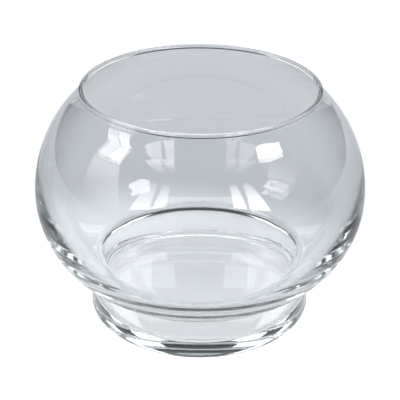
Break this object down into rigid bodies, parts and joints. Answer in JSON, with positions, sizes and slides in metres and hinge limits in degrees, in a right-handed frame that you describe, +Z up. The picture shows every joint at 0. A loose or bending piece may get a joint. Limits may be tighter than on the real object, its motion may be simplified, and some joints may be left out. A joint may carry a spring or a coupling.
{
  "type": "rose bowl vase",
  "caption": "Round clear-glass rose bowl with an in-turned beaded mouth, joined at a waist to a low hollow foot with a thick floor; holds water and cut flowers.",
  "frame": {"origin": "centre of the circle that the foot stands on, in the standing plane", "axes": "+Z up along the axis that both pieces are turned about; X and Y are alike, because the vessel is round"},
  "size_m": [0.2, 0.2, 0.1456],
  "materials": {
    "bowl_glass": "clear blown soda-lime glass, fire-polished",
    "foot_glass": "clear pressed soda-lime glass, fire-polished"
  },
  "bodies": {
    "root": {"bowl": "bowl_glass", "foot": "foot_glass"}
  },
  "joints": []
}
